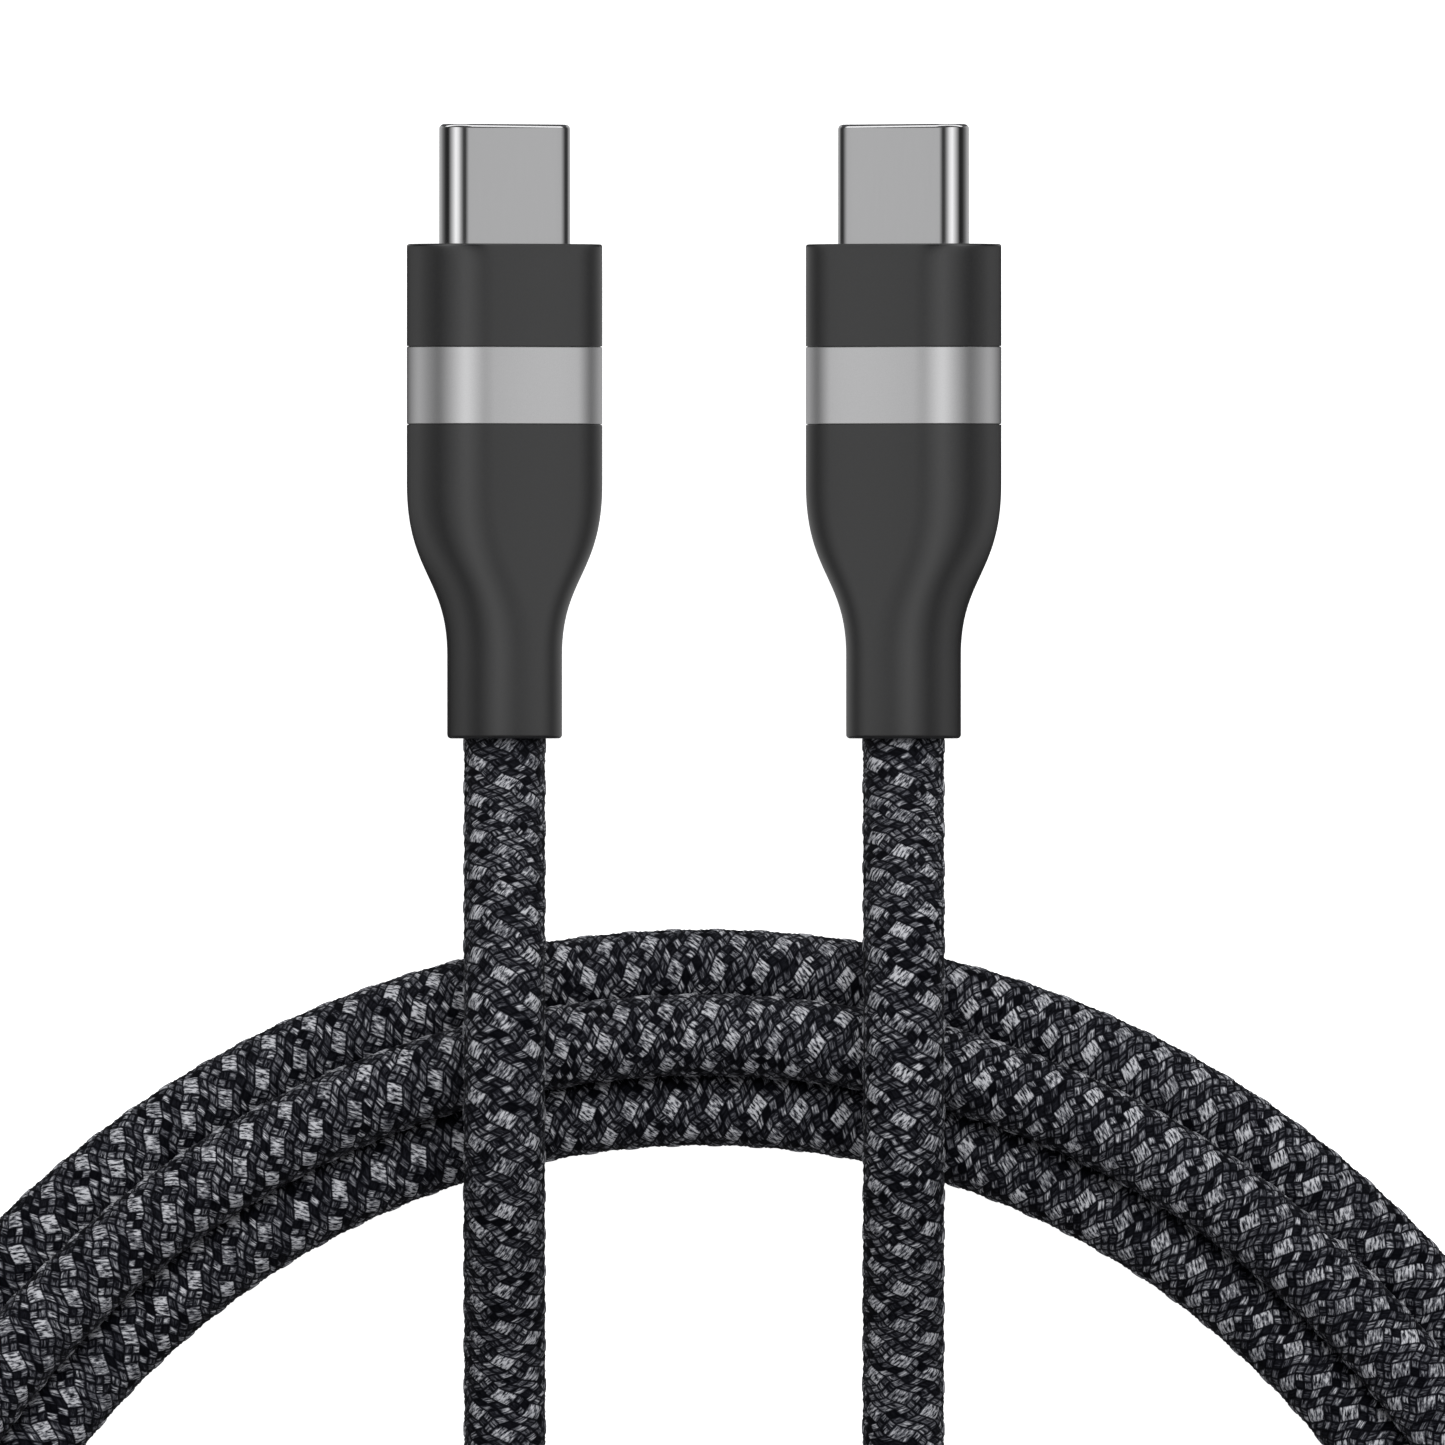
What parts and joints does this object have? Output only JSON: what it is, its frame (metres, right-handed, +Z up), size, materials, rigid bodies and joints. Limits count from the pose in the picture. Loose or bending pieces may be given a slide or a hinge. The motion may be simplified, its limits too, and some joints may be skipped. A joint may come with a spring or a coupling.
{
  "type": "charging cable",
  "caption": "Charging cable with a flat metal plug, satin metal ring and tapered black boot on each end, and a speckled braided cord wound in a flat coil.",
  "frame": {"origin": "centre of the two plugs' footprint on the surface that the cable lies on", "axes": "+Y the way both plugs point, +X from plug a to plug b, +Z up from the surface"},
  "size_m": [0.1036, 0.1315, 0.0123],
  "materials": {
    "black_moulding": "fine satin moulded plastic",
    "satin_aluminium": "satin anodised",
    "nickel_plate": "polished nickel plate",
    "gold_plate": "gold plated",
    "contact_block_plastic": "moulded",
    "spring_steel": "stamped",
    "circuit_board": "solder mask",
    "chip_epoxy": "moulded epoxy",
    "capacitor_ceramic": "fired ceramic",
    "core_plastic": "moulded",
    "crimp_copper": "bare copper",
    "braided_cord": "braided nylon yarn, near-black with light grey flecks",
    "red_insulation": "insulation",
    "black_insulation": "insulation",
    "green_insulation": "insulation",
    "white_insulation": "insulation",
    "blue_insulation": "insulation"
  },
  "bodies": {
    "cable": {"a_plug_shell": "nickel_plate", "a_contact_block": "contact_block_plastic", "a_upper_solder_tails": "gold_plate", "a_lower_solder_tails": "gold_plate", "a_circuit_board": "circuit_board", "a_marker_chip": "chip_epoxy", "a_capacitor": "capacitor_ceramic", "a_upper_shield": "spring_steel", "a_lower_shield": "spring_steel", "a_cable_crimp": "crimp_copper", "a_power_wire": "red_insulation", "a_ground_wire": "black_insulation", "a_data_wire_plus": "green_insulation", "a_data_wire_minus": "white_insulation", "a_configuration_wire": "blue_insulation", "a_cord_end": "braided_cord", "a_inner_core": "core_plastic", "a_front_cover": "black_moulding", "a_metal_ring": "satin_aluminium", "a_rear_boot": "black_moulding", "b_plug_shell": "nickel_plate", "b_contact_block": "contact_block_plastic", "b_upper_solder_tails": "gold_plate", "b_lower_solder_tails": "gold_plate", "b_circuit_board": "circuit_board", "b_marker_chip": "chip_epoxy", "b_capacitor": "capacitor_ceramic", "b_upper_shield": "spring_steel", "b_lower_shield": "spring_steel", "b_cable_crimp": "crimp_copper", "b_power_wire": "red_insulation", "b_ground_wire": "black_insulation", "b_data_wire_plus": "green_insulation", "b_data_wire_minus": "white_insulation", "b_configuration_wire": "blue_insulation", "b_cord_end": "braided_cord", "b_inner_core": "core_plastic", "b_front_cover": "black_moulding", "b_metal_ring": "satin_aluminium", "b_rear_boot": "black_moulding", "cord_coil": "braided_cord", "a_lead": "braided_cord", "b_lead": "braided_cord"},
    "a_upper_contacts_body": {"a_upper_contacts": "gold_plate"},
    "a_lower_contacts_body": {"a_lower_contacts": "gold_plate"},
    "a_left_latch_body": {"a_left_latch": "spring_steel"},
    "a_right_latch_body": {"a_right_latch": "spring_steel"},
    "b_upper_contacts_body": {"b_upper_contacts": "gold_plate"},
    "b_lower_contacts_body": {"b_lower_contacts": "gold_plate"},
    "b_left_latch_body": {"b_left_latch": "spring_steel"},
    "b_right_latch_body": {"b_right_latch": "spring_steel"}
  },
  "joints": [
    {"name": "a_left_latch_flex", "type": "hinge", "parent": "cable", "child": "a_left_latch_body", "pos_m": [-0.01367, 0.00935, 0.00641], "axis": [0.5556, 0, 0.8315], "range_deg": [0, 2], "stiffness_Nm_per_rad": 0.05},
    {"name": "a_right_latch_flex", "type": "hinge", "parent": "cable", "child": "a_right_latch_body", "pos_m": [-0.00843, 0.00935, 0.00291], "axis": [0.5556, 0, 0.8315], "range_deg": [-2, 0], "stiffness_Nm_per_rad": 0.05},
    {"name": "a_upper_contacts_flex", "type": "hinge", "parent": "cable", "child": "a_upper_contacts_body", "pos_m": [-0.01079, 0.0093, 0.00505], "axis": [0.8315, 0, -0.5556], "range_deg": [0, 1.2], "stiffness_Nm_per_rad": 0.05},
    {"name": "a_lower_contacts_flex", "type": "hinge", "parent": "cable", "child": "a_lower_contacts_body", "pos_m": [-0.01131, 0.0093, 0.00428], "axis": [0.8315, 0, -0.5556], "range_deg": [-1.2, 0], "stiffness_Nm_per_rad": 0.05},
    {"name": "b_left_latch_flex", "type": "hinge", "parent": "cable", "child": "b_left_latch_body", "pos_m": [0.00843, 0.00935, 0.00291], "axis": [-0.5556, 0, 0.8315], "range_deg": [0, 2], "stiffness_Nm_per_rad": 0.05},
    {"name": "b_right_latch_flex", "type": "hinge", "parent": "cable", "child": "b_right_latch_body", "pos_m": [0.01367, 0.00935, 0.00641], "axis": [-0.5556, 0, 0.8315], "range_deg": [-2, 0], "stiffness_Nm_per_rad": 0.05},
    {"name": "b_upper_contacts_flex", "type": "hinge", "parent": "cable", "child": "b_upper_contacts_body", "pos_m": [0.01079, 0.0093, 0.00505], "axis": [0.8315, 0, 0.5556], "range_deg": [0, 1.2], "stiffness_Nm_per_rad": 0.05},
    {"name": "b_lower_contacts_flex", "type": "hinge", "parent": "cable", "child": "b_lower_contacts_body", "pos_m": [0.01131, 0.0093, 0.00428], "axis": [0.8315, 0, 0.5556], "range_deg": [-1.2, 0], "stiffness_Nm_per_rad": 0.05}
  ]
}
